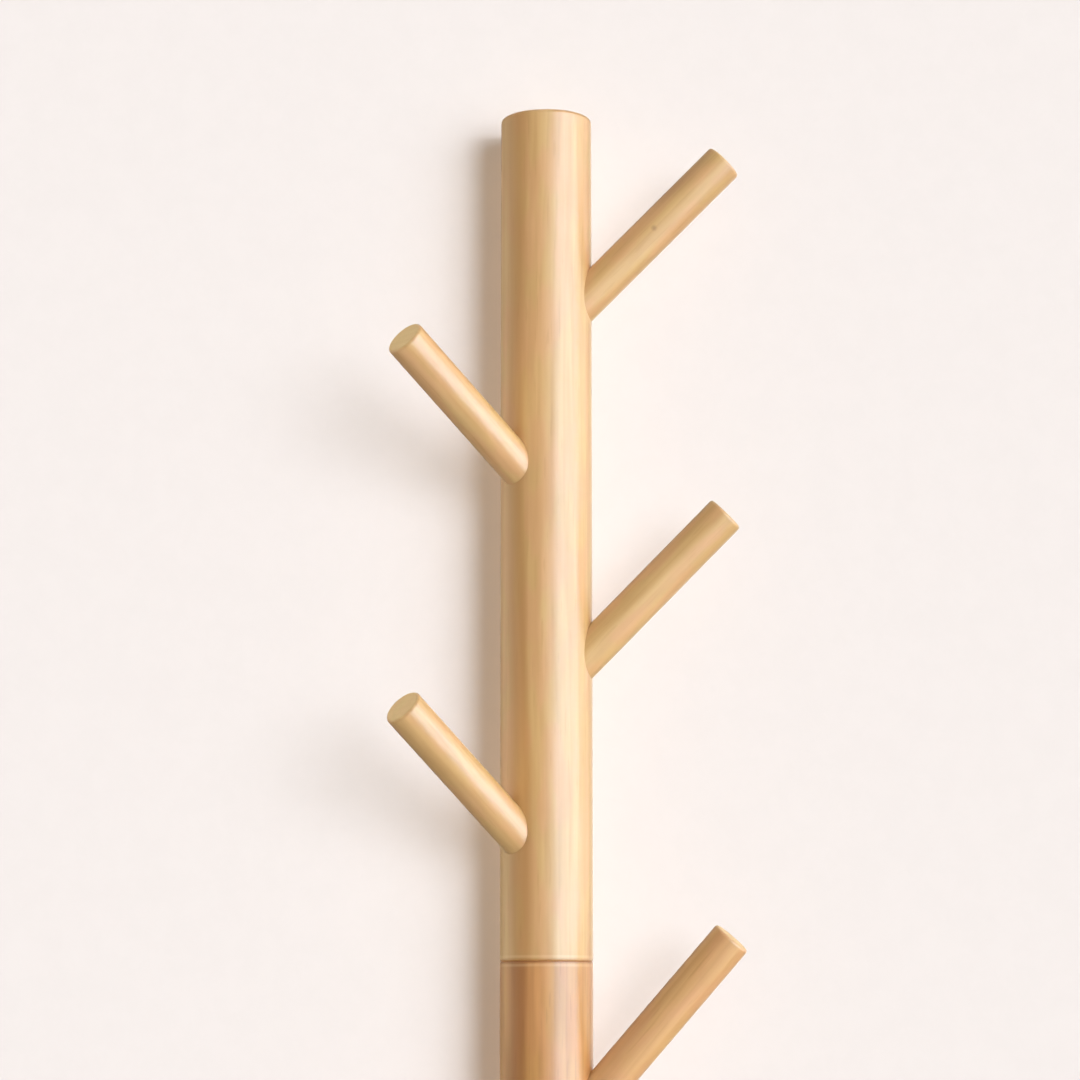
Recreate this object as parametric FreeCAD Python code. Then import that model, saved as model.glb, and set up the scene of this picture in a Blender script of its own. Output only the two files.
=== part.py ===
import FreeCAD
import Part
import math
import os

# Standing coat rack: a round wooden pole in four screwed sections, eight slanted wooden pegs and a
# half-moon base whose flat back goes against a wall.
# Millimetres, +Z up. The origin is on the floor under the middle of the base's footprint, the flat
# back looks along +Y, and the pegs reach out to both sides (X) and forward (-Y).

# Pole
POLE_RADIUS = 22.5
SECTION_LENGTH = 418.5
SECTIONS = ("bottom_section", "lower_section", "upper_section", "top_section")
JOINT_STUDS = ("bottom_joint_stud", "middle_joint_stud", "top_joint_stud")
TOP_ROUND = 2.0
JOINT_CHAMFER = 0.5

# Base board
BASE_HALF_WIDTH = 200.0
BASE_FLANK = 30.0
BASE_THICKNESS = 30.0
BASE_CORNER = 14.0
BASE_TOP_ROUND = 5.0
BASE_UNDER_CHAMFER = 1.0
POLE_SETBACK = 26.0

# Pegs: node name, section, drop of the axis crossing below that section's top, side (+1 right, -1 left),
# degrees turned forward from sideways, degrees above level, length outside the pole
PEG_RADIUS = 9.75
PEG_TIP_ROUND = 1.5
PEGS = (
    ("peg_right_1", 3, 111.8, 1, 8.0, 44.3, 93.5),
    ("peg_left_1", 3, 192.2, -1, 41.0, 37.1, 85.2),
    ("peg_right_2", 3, 290.3, 1, 8.9, 44.9, 93.6),
    ("peg_left_2", 3, 373.2, -1, 40.1, 39.2, 85.8),
    ("peg_right_3", 2, 91.9, 1, 12.3, 48.6, 103.1),
    ("peg_left_3", 2, 174.0, -1, 40.5, 38.5, 86.0),
    ("peg_right_4", 2, 270.0, 1, 10.5, 46.5, 97.0),
    ("peg_left_4", 2, 354.0, -1, 41.0, 38.0, 86.0),
)

# Round sockets that the pegs sit in, measured along the peg's axis from the pole's surface
SOCKET_DEPTH = 20.0
SOCKET_CLEARANCE = 0.1

# Steel screw that ends each peg and the threaded insert that it turns into
PEG_STUD_RADIUS = 3.0
PEG_STUD_IN_PEG = 20.0
PEG_INSERT_RADIUS = 4.5
PEG_INSERT_LENGTH = 12.0

# Studs and inserts that join the sections
STUD_RADIUS = 4.0
STUD_LENGTH = 50.0
INSERT_RADIUS = 6.0
INSERT_LENGTH = 20.0
STUD_HOLE_RADIUS = 4.3
STUD_HOLE_DEPTH = 27.0

# Bolt, washer and dowel that hold the pole on the base
BOLT_LENGTH = 40.0
BOLT_HEAD_RADIUS = 6.5
BOLT_HEAD_HEIGHT = 8.0
BOLT_HEX_ACROSS = 6.0
BOLT_HEX_DEPTH = 4.0
BOLT_HOLE_RADIUS = 4.25
WASHER_RADIUS = 11.0
WASHER_THICKNESS = 1.6
COUNTERBORE_RADIUS = 12.5
COUNTERBORE_DEPTH = 12.0
DOWEL_RADIUS = 4.0
DOWEL_LENGTH = 24.0
DOWEL_OFFSET = 14.0
DOWEL_CHAMFER = 0.8
DOWEL_END_GAP = 0.5

# Steel plate let into the underside, and its countersunk screws
PLATE_HALF_WIDTH = 130.0
PLATE_FLANK = 16.0
PLATE_THICKNESS = 4.0
PLATE_CORNER = 10.0
PLATE_BACK_Y = 68.0
PLATE_CLEARANCE = 0.5
SCREW_PLACES = ((-100.0, 46.0), (100.0, 46.0), (-50.0, -42.0), (50.0, -42.0))
SCREW_RADIUS = 2.0
SCREW_HEAD_RADIUS = 4.0
SCREW_HEAD_HEIGHT = 2.3
SCREW_LENGTH = 20.0
SCREW_TIP = 4.0
RECESS_LENGTH = 5.0
RECESS_WIDTH = 1.0
RECESS_DEPTH = 1.4

# Pads under the base
PAD_RADIUS = 13.0
PAD_THICKNESS = 3.0
PAD_CHAMFER = 0.6
PAD_PLACES = ((-170.0, 92.0), (170.0, 92.0), (-128.0, -34.0), (128.0, -34.0), (0.0, -92.0))

# Threads are drawn as rings: depth of the groove and distance between crests
M8_GROOVE = 0.6
M8_PITCH = 1.25
M6_GROOVE = 0.5
M6_PITCH = 1.0
INSERT_GROOVE = 0.8
INSERT_PITCH = 2.5
WOOD_SCREW_GROOVE = 0.7
WOOD_SCREW_PITCH = 2.0

# Derived heights and places
BASE_BACK_Y = (BASE_HALF_WIDTH + BASE_FLANK) / 2.0
POLE_Y = BASE_BACK_Y - POLE_SETBACK
UNDERSIDE_Z = PAD_THICKNESS
POLE_Z = UNDERSIDE_Z + BASE_THICKNESS
WASHER_TOP_Z = UNDERSIDE_Z + COUNTERBORE_DEPTH
BOLT_SEAT_Z = WASHER_TOP_Z - WASHER_THICKNESS

UP = FreeCAD.Vector(0, 0, 1)
DOWN = FreeCAD.Vector(0, 0, -1)


def pole_point(z):
    """Return the point of the pole's axis at height z."""
    return FreeCAD.Vector(0, POLE_Y, z)


def section_bottom(index):
    """Return the height of a section's lower end, counted from the base."""
    return POLE_Z + index * SECTION_LENGTH


def revolved(profile, place, direction):
    """Turn a closed (radius, distance) profile about an axis from place along direction."""
    points = [FreeCAD.Vector(radius, 0, distance) for radius, distance in profile]
    face = Part.Face(Part.makePolygon(points + points[:1]))
    solid = face.revolve(FreeCAD.Vector(0, 0, 0), UP, 360)
    solid.Placement = FreeCAD.Placement(place, FreeCAD.Rotation(UP, direction))
    return solid


def ringed_edge(start, end, radius, groove, pitch):
    """Return (radius, distance) points of V rings from start to end, with a plain land at each end."""
    count = int((end - start) / pitch)
    first = start + (end - start - count * pitch) / 2.0
    points = [(radius, start)]
    for turn in range(count):
        points.append((radius - groove, first + (turn + 0.5) * pitch))
        points.append((radius, first + (turn + 1) * pitch))
    if points[-1][1] < end - 1e-6:
        points.append((radius, end))
    return points


def threaded_rod(place, direction, length, radius, groove, pitch):
    """Return a rod with rings all along it."""
    outer = ringed_edge(0, length, radius, groove, pitch)
    return revolved([(0, 0)] + outer + [(0, length)], place, direction)


def threaded_insert(place, direction, length, radius, bore):
    """Return a ringed sleeve with a plain bore, its mouth at place and its body along direction."""
    outer = ringed_edge(0, length, radius, INSERT_GROOVE, INSERT_PITCH)
    return revolved([(bore, 0)] + outer + [(bore, length)], place, direction)


def edges_at(shape, z):
    """Return the shape's edges that lie whole at height z."""
    return [edge for edge in shape.Edges
            if max(abs(edge.BoundBox.ZMin - z), abs(edge.BoundBox.ZMax - z)) < 1e-6]


def peg_direction(side, forward, rise):
    """Return the unit vector along a peg, pointing out of the pole."""
    level = math.cos(math.radians(rise))
    x = side * level * math.cos(math.radians(forward))
    y = -level * math.sin(math.radians(forward))
    return FreeCAD.Vector(x, y, math.sin(math.radians(rise)))


def peg_frame(section, drop, side, forward, rise):
    """Return the centre of a peg's socket floor and the unit vector along the peg."""
    along = peg_direction(side, forward, rise)
    crossing = pole_point(section_bottom(section + 1) - drop)
    to_surface = POLE_RADIUS / math.cos(math.radians(rise))
    return crossing + along * (to_surface - SOCKET_DEPTH), along


def peg(floor, along, outside):
    """Return a round peg with an eased tip and a hole for its screw."""
    length = SOCKET_DEPTH + outside
    body = Part.makeCylinder(PEG_RADIUS, length)
    body = body.makeFillet(PEG_TIP_ROUND, edges_at(body, length))
    body = body.cut(Part.makeCylinder(PEG_STUD_RADIUS, PEG_STUD_IN_PEG))
    body.Placement = FreeCAD.Placement(floor, FreeCAD.Rotation(UP, along))
    return body


def peg_cutter(floor, along):
    """Return the socket and the insert's hole that a peg needs in the pole."""
    reach = SOCKET_DEPTH + 2 * POLE_RADIUS
    socket = Part.makeCylinder(PEG_RADIUS + SOCKET_CLEARANCE, reach, floor, along)
    hole = Part.makeCylinder(PEG_INSERT_RADIUS, PEG_INSERT_LENGTH, floor, -along)
    return socket.fuse(hole)


def peg_stud(floor, along):
    """Return the screw that runs from the peg's insert into the peg."""
    start = floor - along * PEG_INSERT_LENGTH
    length = PEG_INSERT_LENGTH + PEG_STUD_IN_PEG
    return threaded_rod(start, along, length, PEG_STUD_RADIUS, M6_GROOVE, M6_PITCH)


def peg_insert(floor, along):
    """Return the threaded insert below a peg's socket, which holds the peg's screw."""
    return threaded_insert(floor, -along, PEG_INSERT_LENGTH, PEG_INSERT_RADIUS, PEG_STUD_RADIUS)


def end_cutter(z, inward):
    """Return the holes for an insert and a stud in a section's end at height z."""
    place = pole_point(z)
    seat = Part.makeCylinder(INSERT_RADIUS, INSERT_LENGTH, place, inward)
    return seat.fuse(Part.makeCylinder(STUD_HOLE_RADIUS, STUD_HOLE_DEPTH, place, inward))


def pole_section(index, frames):
    """Return one section of the pole, with its end holes and the sockets of its pegs."""
    low = section_bottom(index)
    high = low + SECTION_LENGTH
    is_top = index == len(SECTIONS) - 1
    body = Part.makeCylinder(POLE_RADIUS, SECTION_LENGTH, pole_point(low))
    body = body.makeChamfer(JOINT_CHAMFER, edges_at(body, low))
    if is_top:
        body = body.makeFillet(TOP_ROUND, edges_at(body, high))
    else:
        body = body.makeChamfer(JOINT_CHAMFER, edges_at(body, high))
        body = body.cut(end_cutter(high, DOWN))
    body = body.cut(end_cutter(low, UP))
    for floor, along in frames:
        body = body.cut(peg_cutter(floor, along))
    if index == 0:
        body = body.cut(dowel_hole())
    return body


def dowel_axis():
    """Return the point of the dowel's axis at the joint of pole and base."""
    return pole_point(POLE_Z) - FreeCAD.Vector(0, DOWEL_OFFSET, 0)


def dowel_hole():
    """Return the dowel's hole, which runs equally into pole and base."""
    half = DOWEL_LENGTH / 2.0 + DOWEL_END_GAP
    return Part.makeCylinder(DOWEL_RADIUS, 2 * half, dowel_axis() - UP * half)


def base_dowel():
    """Return the wooden dowel that stops the pole from turning on the base."""
    body = Part.makeCylinder(DOWEL_RADIUS, DOWEL_LENGTH, dowel_axis() - UP * (DOWEL_LENGTH / 2.0))
    return body.makeChamfer(DOWEL_CHAMFER, [edge for edge in body.Edges if edge.Closed])


def half_moon(half_width, flank, corner, back_y, z, thickness):
    """Return a plate with a straight back at back_y, short straight flanks and a half-circle front."""
    centre_y = back_y - flank
    turn = corner * (1 - math.sqrt(0.5))
    edges = [Part.Arc(FreeCAD.Vector(half_width, centre_y, z),
                      FreeCAD.Vector(0, centre_y - half_width, z),
                      FreeCAD.Vector(-half_width, centre_y, z))]
    for side in (-1, 1):
        edge_x = side * half_width
        flank_end = FreeCAD.Vector(edge_x, back_y - corner, z)
        corner_middle = FreeCAD.Vector(edge_x - side * turn, back_y - turn, z)
        back_end = FreeCAD.Vector(edge_x - side * corner, back_y, z)
        edges.append(Part.LineSegment(FreeCAD.Vector(edge_x, centre_y, z), flank_end))
        edges.append(Part.Arc(flank_end, corner_middle, back_end))
    edges.append(Part.LineSegment(FreeCAD.Vector(corner - half_width, back_y, z),
                                  FreeCAD.Vector(half_width - corner, back_y, z)))
    outline = Part.Wire(Part.__sortEdges__([edge.toShape() for edge in edges]))
    return Part.Face(outline).extrude(UP * thickness)


def base_board():
    """Return the half-moon board with its bolt hole, dowel hole and the pocket for the plate."""
    board = half_moon(BASE_HALF_WIDTH, BASE_FLANK, BASE_CORNER, BASE_BACK_Y, UNDERSIDE_Z, BASE_THICKNESS)
    board = board.makeFillet(BASE_TOP_ROUND, edges_at(board, POLE_Z))
    board = board.makeChamfer(BASE_UNDER_CHAMFER, edges_at(board, UNDERSIDE_Z))
    underside = pole_point(UNDERSIDE_Z)
    cutters = [
        Part.makeCylinder(BOLT_HOLE_RADIUS, BASE_THICKNESS, underside),
        Part.makeCylinder(COUNTERBORE_RADIUS, COUNTERBORE_DEPTH, underside),
        dowel_hole(),
        plate_pocket(),
    ]
    for x, y in SCREW_PLACES:
        cutters.append(Part.makeCylinder(SCREW_RADIUS, SCREW_LENGTH, FreeCAD.Vector(x, y, UNDERSIDE_Z)))
    return board.cut(cutters)


def plate_pocket():
    """Return the pocket that takes the steel plate, a little wider than the plate all round."""
    return half_moon(PLATE_HALF_WIDTH + PLATE_CLEARANCE, PLATE_FLANK + PLATE_CLEARANCE, PLATE_CORNER,
                     PLATE_BACK_Y + PLATE_CLEARANCE, UNDERSIDE_Z, PLATE_THICKNESS)


def countersink(x, y):
    """Return the hole of a screw's head and neck through the plate."""
    sink = Part.makeCone(SCREW_HEAD_RADIUS, SCREW_RADIUS, SCREW_HEAD_HEIGHT)
    hole = sink.fuse(Part.makeCylinder(SCREW_RADIUS, PLATE_THICKNESS))
    hole.translate(FreeCAD.Vector(x, y, UNDERSIDE_Z))
    return hole


def ballast_plate():
    """Return the steel plate that weighs the base down."""
    plate = half_moon(PLATE_HALF_WIDTH, PLATE_FLANK, PLATE_CORNER, PLATE_BACK_Y, UNDERSIDE_Z, PLATE_THICKNESS)
    return plate.cut([countersink(x, y) for x, y in SCREW_PLACES])


def ballast_screw(x, y):
    """Return a countersunk wood screw with a cross recess, its head flush with the plate."""
    thread = ringed_edge(PLATE_THICKNESS, SCREW_LENGTH - SCREW_TIP, SCREW_RADIUS, WOOD_SCREW_GROOVE,
                         WOOD_SCREW_PITCH)
    profile = [(0, 0), (SCREW_HEAD_RADIUS, 0), (SCREW_RADIUS, SCREW_HEAD_HEIGHT)]
    profile += thread + [(0, SCREW_LENGTH)]
    screw = revolved(profile, FreeCAD.Vector(x, y, UNDERSIDE_Z), UP)
    corner = FreeCAD.Vector(x - RECESS_LENGTH / 2.0, y - RECESS_WIDTH / 2.0, UNDERSIDE_Z)
    slot = Part.makeBox(RECESS_LENGTH, RECESS_WIDTH, RECESS_DEPTH, corner)
    crossing = slot.copy()
    crossing.rotate(FreeCAD.Vector(x, y, UNDERSIDE_Z), UP, 90)
    return screw.cut(slot.fuse(crossing))


def base_bolt():
    """Return the socket-head bolt that comes up through the base into the pole's insert."""
    rings = ringed_edge(BOLT_HEAD_HEIGHT, BOLT_HEAD_HEIGHT + BOLT_LENGTH, STUD_RADIUS, M8_GROOVE, M8_PITCH)
    profile = [(0, 0), (BOLT_HEAD_RADIUS, 0), (BOLT_HEAD_RADIUS, BOLT_HEAD_HEIGHT)]
    profile += rings + [(0, BOLT_HEAD_HEIGHT + BOLT_LENGTH)]
    head_z = BOLT_SEAT_Z - BOLT_HEAD_HEIGHT
    bolt = revolved(profile, pole_point(head_z), UP)
    corner_radius = BOLT_HEX_ACROSS / math.sqrt(3)
    corners = [FreeCAD.Vector(corner_radius * math.cos(math.radians(60 * turn)),
                              POLE_Y + corner_radius * math.sin(math.radians(60 * turn)), head_z)
               for turn in range(6)]
    hexagon = Part.Face(Part.makePolygon(corners + corners[:1]))
    return bolt.cut(hexagon.extrude(UP * BOLT_HEX_DEPTH))


def base_washer():
    """Return the flat washer between the bolt's head and the wood."""
    place = pole_point(BOLT_SEAT_Z)
    disc = Part.makeCylinder(WASHER_RADIUS, WASHER_THICKNESS, place)
    return disc.cut(Part.makeCylinder(BOLT_HOLE_RADIUS, WASHER_THICKNESS, place))


def floor_pad(x, y):
    """Return one round pad under the base."""
    pad = Part.makeCylinder(PAD_RADIUS, PAD_THICKNESS, FreeCAD.Vector(x, y, 0))
    return pad.makeChamfer(PAD_CHAMFER, edges_at(pad, 0))


def joint_stud(z):
    """Return the double-ended stud across the joint at height z."""
    start = pole_point(z - STUD_LENGTH / 2.0)
    return threaded_rod(start, UP, STUD_LENGTH, STUD_RADIUS, M8_GROOVE, M8_PITCH)


def section_insert(z, inward):
    """Return the threaded insert in a section's end at height z."""
    return threaded_insert(pole_point(z), inward, INSERT_LENGTH, INSERT_RADIUS, STUD_RADIUS)


def pole_nodes():
    """Return the sections, the pegs and the hardware inside the pole, by name."""
    nodes = {}
    frames = {}
    for name, section, drop, side, forward, rise, outside in PEGS:
        frames[name] = peg_frame(section, drop, side, forward, rise)
        nodes[name] = peg(*frames[name], outside)
    nodes["peg_studs"] = Part.makeCompound([peg_stud(*frame) for frame in frames.values()])
    nodes["peg_inserts"] = Part.makeCompound([peg_insert(*frame) for frame in frames.values()])
    for index, section_name in enumerate(SECTIONS):
        own = [frames[name] for name, section, *_ in PEGS if section == index]
        nodes[section_name] = pole_section(index, own)
    inserts = [section_insert(section_bottom(0), UP)]
    for index, stud_name in enumerate(JOINT_STUDS, start=1):
        z = section_bottom(index)
        nodes[stud_name] = joint_stud(z)
        inserts += [section_insert(z, DOWN), section_insert(z, UP)]
    nodes["section_inserts"] = Part.makeCompound(inserts)
    return nodes


def base_nodes():
    """Return the base board and everything on its underside, by name."""
    return {
        "base_board": base_board(),
        "base_bolt": base_bolt(),
        "base_washer": base_washer(),
        "base_dowel": base_dowel(),
        "ballast_plate": ballast_plate(),
        "ballast_screws": Part.makeCompound([ballast_screw(x, y) for x, y in SCREW_PLACES]),
        "floor_pads": Part.makeCompound([floor_pad(x, y) for x, y in PAD_PLACES]),
    }


def main():
    """Write every node as a STEP file and print its volume."""
    os.makedirs("parts", exist_ok=True)
    nodes = {**pole_nodes(), **base_nodes()}
    for name, shape in nodes.items():
        if not shape.isValid():
            raise ValueError("invalid shape: " + name)
        shape.exportStep("parts/" + name + ".step")
        print(name, len(shape.Solids), "solids", round(shape.Volume), "mm3")


main()
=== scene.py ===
"""Standing coat rack: lacquered blond wood, a half-moon base and plain soft studio light.

Metres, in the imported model's frame: +Z up, +Y towards the wall behind the rack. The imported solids
are shown as they are, and this script gives them their materials, the studio and the camera.
"""
import math

import bpy
from mathutils import Euler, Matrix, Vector


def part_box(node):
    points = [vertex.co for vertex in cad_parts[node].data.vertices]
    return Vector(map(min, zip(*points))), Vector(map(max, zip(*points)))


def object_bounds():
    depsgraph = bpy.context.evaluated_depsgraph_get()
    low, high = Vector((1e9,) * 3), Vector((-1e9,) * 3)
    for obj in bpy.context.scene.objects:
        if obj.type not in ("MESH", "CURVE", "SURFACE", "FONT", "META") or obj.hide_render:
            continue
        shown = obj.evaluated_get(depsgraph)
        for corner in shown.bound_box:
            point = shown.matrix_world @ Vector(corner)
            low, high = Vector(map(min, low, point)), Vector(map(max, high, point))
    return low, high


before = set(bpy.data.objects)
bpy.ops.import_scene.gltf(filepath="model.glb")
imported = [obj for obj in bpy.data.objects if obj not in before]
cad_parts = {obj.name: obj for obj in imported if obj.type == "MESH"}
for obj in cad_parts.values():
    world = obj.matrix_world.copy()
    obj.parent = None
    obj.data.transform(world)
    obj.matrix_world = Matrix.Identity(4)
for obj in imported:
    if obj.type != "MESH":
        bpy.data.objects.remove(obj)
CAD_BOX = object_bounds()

# Camera: distance from the pole's axis, height under the pole's top, sideways offset, tilt and lens
CAMERA_DISTANCE = 1.5771
CAMERA_BELOW_TOP = 0.4522
CAMERA_SIDE = -0.00315
CAMERA_TILT = math.radians(8.632)
CAMERA_LENS = 108.1

# Studio
FLOOR_REACH = 6.0
WALL_HALF_WIDTH = 5.0
WALL_HEIGHT = 3.6
STAGE_GAP = 0.0004
WALL_COLOUR = (0.458, 0.418, 0.399)
FLOOR_COLOUR = (0.86, 0.81, 0.79)
BACKGROUND_COLOUR = (0.93, 0.87, 0.845)
BACKDROP_CELLS = (60.0, 60.0, 60.0)
BACKDROP_SPAN = (0.35, 0.65)
BACKDROP_SHADE = 0.985
BACKDROP_ROUGHNESS = 0.95
AMBIENT_COLOUR = (1.0, 0.97, 0.94)
AMBIENT = 0.12

# Lights: degrees round to the right from the camera's side, degrees above level, angular size in
# degrees, strength and colour. The rack and the backdrop are lit apart, as in a studio with
# flags, and the gloss lights only make the lacquer shine.
RACK_LIGHTS = {
    "key_light": (22.0, 6.5, 40.0, 1.75, (1.0, 0.99, 0.97)),
    "side_light": (60.0, -8.0, 70.0, 2.55, (1.0, 0.99, 0.97)),
    "right_rear_light": (125.0, 10.0, 60.0, 1.4, (1.0, 0.99, 0.98)),
    "fill_light": (-25.0, -50.0, 60.0, 0.65, (1.0, 0.98, 0.96)),
    "rim_light": (-118.0, 5.0, 60.0, 3.25, (1.0, 0.93, 0.76)),
    "back_light": (180.0, 50.0, 40.0, 2.4, (1.0, 0.99, 0.98)),
    "top_light": (0.0, 82.0, 60.0, 0.7, (1.0, 0.99, 0.98)),
}
GLOSS_LIGHTS = {
    "gloss_light": (55.0, 4.0, 66.0, 2.35, (0.62, 0.84, 1.10)),
    "gloss_edge_light": (104.0, 4.0, 52.0, 0.6, (0.90, 0.86, 0.78)),
    "gloss_wall_light": (164.0, 0.0, 44.0, 0.35, (1.0, 0.94, 0.88)),
}
WALL_LIGHTS = {
    "wall_key_light": (30.0, 7.0, 30.0, 1.8, (0.83, 0.91, 1.0)),
    "wall_soft_light": (32.0, 6.0, 42.0, 1.25, (0.83, 0.91, 1.0)),
    "wall_near_light": (24.0, 0.0, 18.0, 1.6, (0.83, 0.91, 1.0)),
    "wall_wide_light": (42.0, -6.0, 36.0, 1.3, (0.83, 0.91, 1.0)),
    "wall_even_light": (0.0, 0.0, 10.0, 1.95, (1.0, 0.87, 0.70)),
}
FLOOR_LIGHTS = {
    "floor_high_light": (35.0, 58.0, 40.0, 3.65, (1.0, 0.99, 0.98)),
}

# Wall lights that pass the right pegs, all pegs or the whole rack without casting their shadow
PASSES_RIGHT_PEGS = ("wall_soft_light",)
PASSES_PEGS = ("wall_near_light", "wall_wide_light")
PASSES_RACK = ("wall_even_light",)

# Wood: light and dark ring tone, and the pinker tone that drifts through the board
PALE_WOOD = ((0.69, 0.455, 0.19), (0.47, 0.23, 0.068), (0.70, 0.40, 0.19))
HONEY_WOOD = ((0.71, 0.425, 0.175), (0.46, 0.20, 0.055), (0.71, 0.385, 0.18))
WARM_WOOD = ((0.65, 0.35, 0.11), (0.31, 0.112, 0.028), (0.64, 0.31, 0.115))
# End grain's own tone, made paler and greyer as a painted reflection of the pale surroundings
END_GRAIN_AND_REFLECTION = (0.60, 0.46, 0.25)
# Pale colour of the painted highlights on the eased edges beside the joints
PAINTED_EDGE_HIGHLIGHT = (0.86, 0.66, 0.38)
KNOT_BROWN = (0.28, 0.12, 0.035)

# Growth rings: gap, sideways wander and its cells a metre, and darkness from one ring to the next
RING_GAP = 0.0042
RING_WANDER = (0.022, 0.022, 0.0)
RING_WANDER_CELLS = (14.0, 14.0, 2.2)
RING_TONES = ((0.0, 0.1), (0.55, 0.35), (0.86, 1.0), (1.0, 0.1))

# Figure: cells a metre across, through and along the wood
FIBRE_CELLS = (1100.0, 1100.0, 14.0)
STREAK_CELLS = (200.0, 200.0, 16.0)
DRIFT_CELLS = (120.0, 120.0, 36.0)
FLECK_CELLS = (520.0, 520.0, 42.0)

# Between which noise values each part of the figure fades in
DRIFT_SPAN = (0.40, 0.62)
STREAK_SPAN = (0.35, 0.65)
FIBRE_SPAN = (0.3, 0.7)
FLECK_SPAN = (0.64, 0.72)

# How much of its tone each part of the figure adds at most
RING_SHARE = 0.30
DRIFT_SHARE = 0.75
STREAK_SHARE = 0.25
FIBRE_SHARE = 0.09
FLECK_SHARE = 0.22
# Painted shade down the pole's left side
SHADE_BAND_SHARE = 0.65
# End grain, with its painted reflection
END_GRAIN_AND_REFLECTION_SHARE = 0.6
# Painted highlights beside the joints
PAINTED_EDGE_HIGHLIGHT_SHARE = 0.2
# Painted shade in the joints' grooves
JOINT_SHADE_SHARE = 0.7
KNOT_SHARE = 0.65

# Places: the band of painted shade down the pole's shaded left side, the joints, one knot, how far
# apart in the timber the pieces are cut, and the middle of the tree
SHADE_BAND_OFFSET = -0.0132
SHADE_BAND_HALF_WIDTH = 0.0055
JOINT_HALF_WIDTH = 0.0009
JOINT_EDGE = 0.0021
KNOT_FROM_END = 0.050
KNOT_IN_FRONT = 0.0093
KNOT_RADIUS = 0.0022
SECTION_STEP = Vector((0.013, 0.011, 0.7))
PEG_STEP = Vector((0.02, 0.031, 0.17))
TREE_MIDDLE = (0.05, 0.035)
BASE_TREE_MIDDLE = (0.11, 0.03)

# Finding the ends: a peg's long side faces, how near its end a corner lies, and how square to the
# grain a face starts to show end grain and shows it in full
PEG_SIDE_FACES = 40
END_TOLERANCE = 0.00005
CUT_SPAN = (0.80, 0.95)

# Lacquer: the wood's roughness, the clear coat that cut ends soak up, and the grain's relief
LACQUER_ROUGHNESS = (0.45, 0.40)
END_EXTRA_ROUGHNESS = 0.4
END_COAT_LOSS = -0.95
COAT_IOR = 1.8
COAT_ROUGHNESS = 0.3
GRAIN_BUMP = 0.12
GRAIN_DEPTH = 0.0001
FLECK_RELIEF = -0.5

# Hardware: mottled shade and roughness of metal, and the pebbles of a dull coat or rubber
METAL_SHADE = 0.75
METAL_CELLS = 600.0
FINISH_SPAN = (0.3, 0.7)
METAL_ROUGHNESS_FALL = 0.06
METAL_ROUGHNESS_RISE = 0.08
PEBBLE_GAIN = 1.5
PEBBLE_LIFT = 0.01
PEBBLE_ROUGHNESS_RISE = 0.1
PEBBLE_BUMP = 0.4

UP = Vector((0.0, 0.0, 1.0))


def new_node(tree, kind, settings=None, **inputs):
    """Add a node. settings are its properties; each input is a value or a socket to link from.

    An input is named after its socket, or i0, i1 and so on for a socket's number.
    """
    made = tree.nodes.new(kind)
    for name, value in (settings or {}).items():
        setattr(made, name, value)
    for name, value in inputs.items():
        numbered = name[0] == "i" and name[1:].isdigit()
        key = int(name[1:]) if numbered else name.replace("_", " ")
        if isinstance(value, bpy.types.NodeSocket):
            tree.links.new(value, made.inputs[key])
        else:
            made.inputs[key].default_value = value
    return made


def new_material(name):
    """Return an empty node material, its tree and its surface shader."""
    material = bpy.data.materials.new(name)
    material.use_nodes = True
    tree = material.node_tree
    shader = tree.nodes["Principled BSDF"]
    return material, tree, shader


def math_node(tree, operation, *values):
    """Return the output of a math node."""
    inputs = {f"i{index}": value for index, value in enumerate(values)}
    return new_node(tree, "ShaderNodeMath", {"operation": operation}, **inputs).outputs[0]


def vector_node(tree, operation, *values):
    """Return a vector math node."""
    inputs = {f"i{index}": value for index, value in enumerate(values)}
    return new_node(tree, "ShaderNodeVectorMath", {"operation": operation}, **inputs)


def gap(tree, value, middle):
    """Return how far a value is from the middle, either way."""
    return math_node(tree, "ABSOLUTE", math_node(tree, "SUBTRACT", value, middle))


def scaled_noise(tree, vector, cells, detail=3.0, roughness=0.5):
    """Return the value of a noise that is stretched to a number of cells a metre per axis."""
    stretched = new_node(tree, "ShaderNodeMapping", Vector=vector, Scale=cells).outputs[0]
    noise = new_node(tree, "ShaderNodeTexNoise", Vector=stretched, Scale=1.0, Detail=detail,
                     Roughness=roughness)
    return noise.outputs["Fac"]


def grey_ramp(tree, factor, stops):
    """Return the grey of a ramp with (position, grey) stops."""
    made = new_node(tree, "ShaderNodeValToRGB", Fac=factor)
    elements = made.color_ramp.elements
    while len(elements) < len(stops):
        elements.new(0.5)
    for element, (position, grey) in zip(elements, stops):
        element.position = position
        element.color = (grey, grey, grey, 1.0)
    return made.outputs["Color"]


def mix_colour(tree, factor, first, second):
    """Return the mix of two colours."""
    made = new_node(tree, "ShaderNodeMix", {"data_type": "RGBA"}, i0=factor)
    for index, value in ((6, first), (7, second)):
        if isinstance(value, bpy.types.NodeSocket):
            tree.links.new(value, made.inputs[index])
        else:
            made.inputs[index].default_value = (*value, 1.0)
    return made.outputs[2]


def span(tree, value, low, high, to_low=0.0, to_high=1.0):
    """Return value mapped smoothly from low..high to to_low..to_high."""
    settings = {"interpolation_type": "SMOOTHSTEP"}
    made = new_node(tree, "ShaderNodeMapRange", settings, Value=value, From_Min=low, From_Max=high,
                    To_Min=to_low, To_Max=to_high)
    return made.outputs["Result"]


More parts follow.
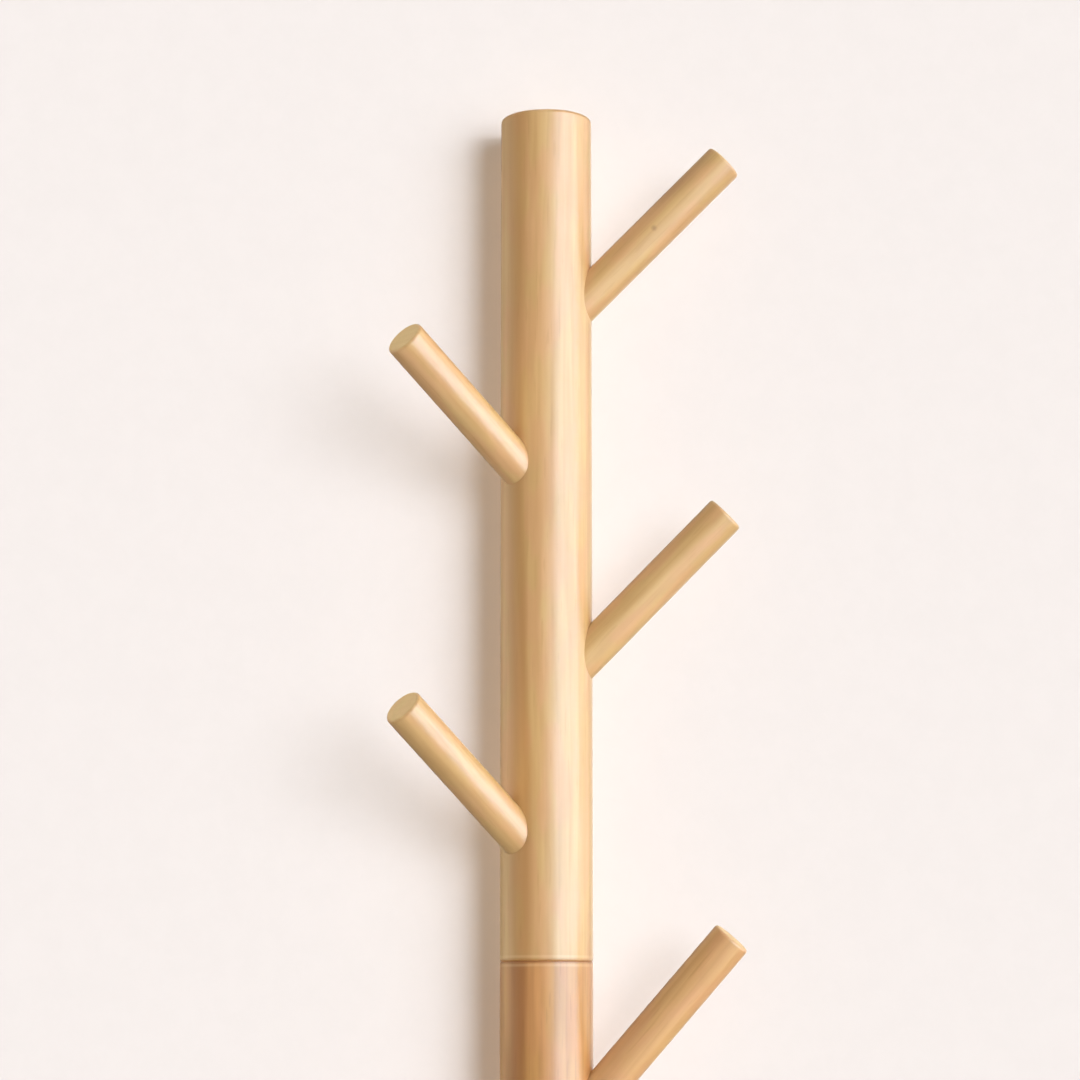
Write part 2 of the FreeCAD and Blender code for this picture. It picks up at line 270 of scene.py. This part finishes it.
def wandering(tree, local):
    """Return the place in the timber after the slow sideways wander of its rings."""
    cells = new_node(tree, "ShaderNodeMapping", Vector=local, Scale=RING_WANDER_CELLS).outputs[0]
    sway = new_node(tree, "ShaderNodeTexNoise", Vector=cells, Scale=1.0, Detail=2.0)
    centred = vector_node(tree, "SUBTRACT", sway.outputs["Color"], (0.5, 0.5, 0.5)).outputs[0]
    swayed = vector_node(tree, "MULTIPLY_ADD", centred, RING_WANDER, local).outputs[0]
    return new_node(tree, "ShaderNodeSeparateXYZ", Vector=swayed)


def ring_darkness(tree, parts, pith):
    """Return how dark the growth rings about the pith are."""
    across = math_node(tree, "SUBTRACT", parts.outputs["X"], pith[0])
    through = math_node(tree, "SUBTRACT", parts.outputs["Y"], pith[1])
    flat = new_node(tree, "ShaderNodeCombineXYZ", X=across, Y=through).outputs[0]
    distance = vector_node(tree, "LENGTH", flat).outputs["Value"]
    ring = math_node(tree, "FRACT", math_node(tree, "DIVIDE", distance, RING_GAP))
    return grey_ramp(tree, ring, RING_TONES)


def figure(tree, local, tones, pith, shade_band):
    """Return the grain's colour with any band of painted shade, its fibres and its short dark flecks."""
    light, dark, pink = tones
    parts = wandering(tree, local)
    late = ring_darkness(tree, parts, pith)
    fibre = scaled_noise(tree, local, FIBRE_CELLS, detail=4.0, roughness=0.6)
    streak = scaled_noise(tree, local, STREAK_CELLS, detail=2.0)
    drift = scaled_noise(tree, local, DRIFT_CELLS, detail=1.5)
    fleck = span(tree, scaled_noise(tree, local, FLECK_CELLS, detail=1.0), *FLECK_SPAN)

    colour = mix_colour(tree, math_node(tree, "MULTIPLY", late, RING_SHARE), light, dark)
    colour = mix_colour(tree, span(tree, drift, *DRIFT_SPAN, 0.0, DRIFT_SHARE), colour, pink)
    colour = mix_colour(tree, span(tree, streak, *STREAK_SPAN, STREAK_SHARE, 0.0), colour, dark)
    colour = mix_colour(tree, span(tree, fibre, *FIBRE_SPAN, FIBRE_SHARE, 0.0), colour, dark)
    colour = mix_colour(tree, math_node(tree, "MULTIPLY", fleck, FLECK_SHARE), colour, dark)
    # Painted shade: a darker band down the pole's left side, where the lights leave it shaded
    if shade_band is not None:
        depth = gap(tree, parts.outputs["X"], shade_band)
        layer = span(tree, depth, SHADE_BAND_HALF_WIDTH * 0.3, SHADE_BAND_HALF_WIDTH * 1.3, SHADE_BAND_SHARE, 0.0)
        colour = mix_colour(tree, layer, colour, dark)
    return colour, fibre, fleck


def cut_across(tree, normal, turn):
    """Return 1 where the surface cuts across the grain, and 0 on the long sides."""
    grain_axis = UP.copy()
    grain_axis.rotate(turn.to_matrix().inverted())
    facing = vector_node(tree, "DOT_PRODUCT", normal, grain_axis).outputs["Value"]
    return span(tree, math_node(tree, "ABSOLUTE", facing), *CUT_SPAN)


def mark_joint(tree, place, colour, dark, seam):
    """Return the colour with painted shade along a joint's groove and painted highlights beside it."""
    height = new_node(tree, "ShaderNodeSeparateXYZ", Vector=place).outputs["Z"]
    away = gap(tree, height, seam)
    beside = gap(tree, away, JOINT_EDGE)
    # Painted highlight: pale lines on the eased edges beside the joint, as if they caught the light
    edge = span(tree, beside, JOINT_HALF_WIDTH * 0.3, JOINT_HALF_WIDTH, PAINTED_EDGE_HIGHLIGHT_SHARE, 0.0)
    colour = mix_colour(tree, edge, colour, PAINTED_EDGE_HIGHLIGHT)
    # Painted shade: a dark line where the joint's groove lies in shade
    line = span(tree, away, JOINT_HALF_WIDTH * 0.6, JOINT_HALF_WIDTH * 1.6, JOINT_SHADE_SHARE, 0.0)
    return mix_colour(tree, line, colour, dark)


def mark_knot(tree, place, colour, knot):
    """Return the colour with one small knot."""
    away = vector_node(tree, "DISTANCE", place, knot).outputs["Value"]
    spot = span(tree, away, KNOT_RADIUS * 0.1, KNOT_RADIUS, KNOT_SHARE, 0.0)
    return mix_colour(tree, spot, colour, KNOT_BROWN)


def lacquer(tree, shader, fibre, fleck, end_grain):
    """Give the wood its satin lacquer, which sinks into cut ends and leaves them dull."""
    rough = span(tree, fibre, *FIBRE_SPAN, *LACQUER_ROUGHNESS)
    rough = math_node(tree, "MULTIPLY_ADD", end_grain, END_EXTRA_ROUGHNESS, rough)
    tree.links.new(rough, shader.inputs["Roughness"])
    relief = math_node(tree, "MULTIPLY_ADD", fleck, FLECK_RELIEF, fibre)
    bump = new_node(tree, "ShaderNodeBump", Strength=GRAIN_BUMP, Distance=GRAIN_DEPTH, Height=relief)
    tree.links.new(bump.outputs["Normal"], shader.inputs["Normal"])
    coat = math_node(tree, "MULTIPLY_ADD", end_grain, END_COAT_LOSS, 1.0)
    tree.links.new(coat, shader.inputs["Coat Weight"])
    shader.inputs["Coat IOR"].default_value = COAT_IOR
    shader.inputs["Coat Roughness"].default_value = COAT_ROUGHNESS


def wood(name, tones, turn=Euler(), shift=Vector(), pith=TREE_MIDDLE, shade_band=None, knot=None, seams=()):
    """Return lacquered wood whose grain runs along the local Z axis after the turn and shift.

    heart is the middle of a band of painted shade along the turned X axis, knot is the place of one
    small knot, and seams are the heights of the joints at the piece's ends.
    """
    material, tree, shader = new_material(name)
    source = new_node(tree, "ShaderNodeTexCoord")
    place = source.outputs["Object"]
    local = new_node(tree, "ShaderNodeMapping", Vector=place, Rotation=turn, Location=shift).outputs[0]
    colour, fibre, fleck = figure(tree, local, tones, pith, shade_band)
    end_grain = cut_across(tree, source.outputs["Normal"], turn)
    # Cut ends take the end grain's tone with its painted reflection
    share = math_node(tree, "MULTIPLY", end_grain, END_GRAIN_AND_REFLECTION_SHARE)
    colour = mix_colour(tree, share, colour, END_GRAIN_AND_REFLECTION)
    for seam in seams:
        colour = mark_joint(tree, place, colour, tones[1], seam)
    if knot:
        colour = mark_knot(tree, place, colour, knot)
    tree.links.new(colour, shader.inputs["Base Color"])
    lacquer(tree, shader, fibre, fleck, end_grain)
    return material


def metal(name, colour, roughness):
    """Return metal with a fine uneven finish."""
    material, tree, shader = new_material(name)
    place = new_node(tree, "ShaderNodeTexCoord").outputs["Object"]
    mottle = scaled_noise(tree, place, (METAL_CELLS, METAL_CELLS, METAL_CELLS), detail=4.0)
    darker = tuple(channel * METAL_SHADE for channel in colour)
    tree.links.new(mix_colour(tree, mottle, colour, darker), shader.inputs["Base Color"])
    rough = span(tree, mottle, *FINISH_SPAN, roughness - METAL_ROUGHNESS_FALL,
                 roughness + METAL_ROUGHNESS_RISE)
    tree.links.new(rough, shader.inputs["Roughness"])
    shader.inputs["Metallic"].default_value = 1.0
    return material


def coated(name, colour, roughness, cells, depth):
    """Return a dull coat or rubber with a fine pebbled surface."""
    material, tree, shader = new_material(name)
    place = new_node(tree, "ShaderNodeTexCoord").outputs["Object"]
    pebbles = scaled_noise(tree, place, (cells, cells, cells), detail=2.0)
    paler = tuple(channel * PEBBLE_GAIN + PEBBLE_LIFT for channel in colour)
    tree.links.new(mix_colour(tree, pebbles, colour, paler), shader.inputs["Base Color"])
    rough = span(tree, pebbles, *FINISH_SPAN, roughness, roughness + PEBBLE_ROUGHNESS_RISE)
    tree.links.new(rough, shader.inputs["Roughness"])
    bump = new_node(tree, "ShaderNodeBump", Strength=PEBBLE_BUMP, Distance=depth, Height=pebbles)
    tree.links.new(bump.outputs["Normal"], shader.inputs["Normal"])
    return material


def paint(node, material):
    """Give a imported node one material."""
    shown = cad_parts[node]
    shown.data.materials.clear()
    shown.data.materials.append(material)


def pole_top():
    """Return the point on the pole's axis at its top."""
    low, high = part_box("top_section")
    return Vector(((low.x + high.x) / 2, (low.y + high.y) / 2, high.z))


def peg_axis(node):
    """Return the middle of a peg's outer end and the unit vector along the peg.

    The vector is square to the peg's long side faces, which are its largest.
    """
    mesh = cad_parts[node].data
    sides = sorted(mesh.polygons, key=lambda face: face.area)[-PEG_SIDE_FACES:]
    first = sides[-1].normal
    second = max(sides, key=lambda face: first.cross(face.normal).length).normal
    along = first.cross(second).normalized()
    if along.z < 0.0:
        along.negate()
    reach = max(vertex.co.dot(along) for vertex in mesh.vertices)
    nearly = reach - END_TOLERANCE
    rim = [vertex.co for vertex in mesh.vertices if vertex.co.dot(along) > nearly]
    return sum(rim, Vector()) / len(rim), along


def paint_sections():
    """Give each pole section its own wood with painted shade down its left, and paint the joints."""
    sections = ("top_section", "upper_section", "lower_section", "bottom_section")
    seams = [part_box(node)[0].z for node in sections[:-1]]
    centring = Vector((0.0, pole_top().y, 0.0))
    for index, node in enumerate(sections):
        tones = PALE_WOOD if node == "top_section" else WARM_WOOD
        shift = SECTION_STEP * index - centring
        ends = seams[max(0, index - 1):index + 1]
        # Painted shade down the left side of each section
        shade_band = SHADE_BAND_OFFSET + shift.x
        paint(node, wood(node + "_wood", tones, shift=shift, shade_band=shade_band, seams=ends))


def paint_pegs():
    """Give each peg its own piece of wood along its axis, and the first right peg its knot."""
    pegs = sorted(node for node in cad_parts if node.startswith(("peg_right", "peg_left")))
    for index, node in enumerate(pegs):
        tones = PALE_WOOD if node.endswith(("_1", "_2")) else HONEY_WOOD
        end, along = peg_axis(node)
        turn = along.rotation_difference(UP).to_euler()
        knot = None
        if node == "peg_right_1":
            knot = end - along * KNOT_FROM_END - Vector((0.0, KNOT_IN_FRONT, 0.0))
        paint(node, wood(node + "_wood", tones, turn=turn, shift=PEG_STEP * index, knot=knot))


def paint_base():
    """Give the base board wood with its grain along X, and the dowel plain pale wood."""
    along_x = Vector((1.0, 0.0, 0.0)).rotation_difference(UP).to_euler()
    paint("base_board", wood("base_board_wood", WARM_WOOD, turn=along_x, pith=BASE_TREE_MIDDLE))
    paint("base_dowel", wood("dowel_wood", PALE_WOOD))


def paint_hardware():
    """Give the metal and rubber nodes their finishes."""
    zinc = metal("zinc_steel", (0.62, 0.63, 0.65), 0.32)
    brass = metal("insert_brass", (0.72, 0.52, 0.22), 0.34)
    studs = ("top_joint_stud", "middle_joint_stud", "bottom_joint_stud", "peg_studs")
    for node in studs + ("base_bolt", "base_washer", "ballast_screws"):
        paint(node, zinc)
    for node in ("peg_inserts", "section_inserts"):
        paint(node, brass)
    paint("ballast_plate", coated("black_powder_coat", (0.012, 0.012, 0.013), 0.42, 1800.0, 0.0001))
    paint("floor_pads", coated("pad_rubber", (0.03, 0.028, 0.026), 0.75, 900.0, 0.0002))


def backdrop_paint(name, colour):
    """Return matt paint that is clear from behind."""
    material, tree, shader = new_material(name)
    place = new_node(tree, "ShaderNodeTexCoord").outputs["Object"]
    specks = scaled_noise(tree, place, BACKDROP_CELLS, detail=5.0, roughness=0.7)
    mottle = span(tree, specks, *BACKDROP_SPAN)
    darker = tuple(channel * BACKDROP_SHADE for channel in colour)
    tree.links.new(mix_colour(tree, mottle, colour, darker), shader.inputs["Base Color"])
    shader.inputs["Roughness"].default_value = BACKDROP_ROUGHNESS
    shader.inputs["Specular IOR Level"].default_value = 0.0
    behind = new_node(tree, "ShaderNodeNewGeometry").outputs["Backfacing"]
    clear = new_node(tree, "ShaderNodeBsdfTransparent").outputs[0]
    mixed = new_node(tree, "ShaderNodeMixShader", i0=behind, i1=shader.outputs[0], i2=clear)
    tree.links.new(mixed.outputs[0], tree.nodes["Material Output"].inputs["Surface"])
    return material


def stage_plane(name, corners, material):
    """Add a flat quad that is part of the studio and only takes light and shadow.

    It doesn't light the rack.
    """
    mesh = bpy.data.meshes.new(name)
    mesh.from_pydata(corners, [], [(0, 1, 2, 3)])
    mesh.materials.append(material)
    plane = bpy.data.objects.new(name, mesh)
    bpy.context.scene.collection.objects.link(plane)
    plane.visible_diffuse = False
    plane.visible_glossy = False
    plane.visible_transmission = False
    plane.visible_shadow = False
    return plane


def build_studio():
    """Add and return the wall that the base's flat back stands against, and the floor."""
    side, back = WALL_HALF_WIDTH, CAD_BOX[1].y + STAGE_GAP
    corners = [(-side, back, 0), (side, back, 0),
               (side, back, WALL_HEIGHT), (-side, back, WALL_HEIGHT)]
    wall = stage_plane("studio_wall", corners, backdrop_paint("wall_paint", WALL_COLOUR))
    reach, level = FLOOR_REACH, CAD_BOX[0].z - STAGE_GAP
    corners = [(-reach, -reach, level), (reach, -reach, level),
               (reach, reach, level), (-reach, reach, level)]
    floor = stage_plane("studio_floor", corners, backdrop_paint("floor_paint", FLOOR_COLOUR))
    return wall, floor


def group(name, objects):
    """Return a collection that light linking can name."""
    made = bpy.data.collections.new(name)
    for item in objects:
        made.objects.link(item)
    return made


def nodes_without(prefix):
    """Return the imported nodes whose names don't start with the prefix."""
    return [shown for name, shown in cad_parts.items() if not name.startswith(prefix)]


def add_light(name, receivers, blockers, right, above, size, strength, colour):
    """Add one distant soft light that reaches the receivers and is stopped by the blockers."""
    data = bpy.data.lights.new(name, "SUN")
    data.angle = math.radians(size)
    data.energy = strength
    data.color = colour
    lamp = bpy.data.objects.new(name, data)
    lamp.rotation_euler = Euler((math.radians(90.0 - above), 0.0, math.radians(right)))
    lamp.visible_diffuse = name not in GLOSS_LIGHTS
    lamp.visible_glossy = name not in RACK_LIGHTS
    lamp.light_linking.receiver_collection = receivers
    lamp.light_linking.blocker_collection = blockers
    bpy.context.scene.collection.objects.link(lamp)


def light_the_studio(wall, floor):
    """Light the rack, the wall and the floor apart.

    The base board is left out of the gloss lights, which would glare on its flat top. The floor
    casts no shadow, so a light that only the floor may block passes the rack.
    """
    rack = group("rack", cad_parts.values())
    without_pegs = group("pole", nodes_without("peg_"))
    without_right_pegs = group("left", nodes_without("peg_right"))
    glossy = group("glossy", nodes_without("base_board"))
    wall_only = group("wall", [wall])
    floor_only = group("floor", [floor])
    lit = (
        (RACK_LIGHTS, rack),
        (GLOSS_LIGHTS, glossy),
        (WALL_LIGHTS, wall_only),
        (FLOOR_LIGHTS, floor_only),
    )
    for lights, receivers in lit:
        for name, settings in lights.items():
            blockers = rack
            if name in PASSES_RIGHT_PEGS:
                blockers = without_right_pegs
            if name in PASSES_PEGS:
                blockers = without_pegs
            if name in PASSES_RACK:
                blockers = floor_only
            add_light(name, receivers, blockers, *settings)


def add_background():
    """Add a plain pale background that gives only a little light of its own."""
    world = bpy.data.worlds.new("studio")
    world.use_nodes = True
    tree = world.node_tree
    seen = new_node(tree, "ShaderNodeBackground", Color=(*BACKGROUND_COLOUR, 1.0), Strength=1.0)
    room = new_node(tree, "ShaderNodeBackground", Color=(*AMBIENT_COLOUR, 1.0), Strength=AMBIENT)
    from_camera = new_node(tree, "ShaderNodeLightPath").outputs["Is Camera Ray"]
    mixed = new_node(tree, "ShaderNodeMixShader", i0=from_camera, i1=room.outputs[0], i2=seen.outputs[0])
    tree.links.new(mixed.outputs[0], tree.nodes["World Output"].inputs["Surface"])
    bpy.context.scene.world = world


def place_camera():
    """Place the camera straight in front of the upper pole, looking slightly upwards."""
    top = pole_top()
    data = bpy.data.cameras.new("camera")
    data.lens = CAMERA_LENS
    camera = bpy.data.objects.new("camera", data)
    camera.location = (top.x + CAMERA_SIDE, top.y - CAMERA_DISTANCE, top.z - CAMERA_BELOW_TOP)
    camera.rotation_euler = (math.pi / 2 + CAMERA_TILT, 0.0, 0.0)
    bpy.context.scene.collection.objects.link(camera)
    bpy.context.scene.camera = camera


place_camera()
paint_sections()
paint_pegs()
paint_base()
paint_hardware()
light_the_studio(*build_studio())
add_background()
bpy.context.scene.view_settings.view_transform = "Standard"
# With the light tree, the light-linked suns don't give the same picture each run
bpy.context.scene.cycles.use_light_tree = False
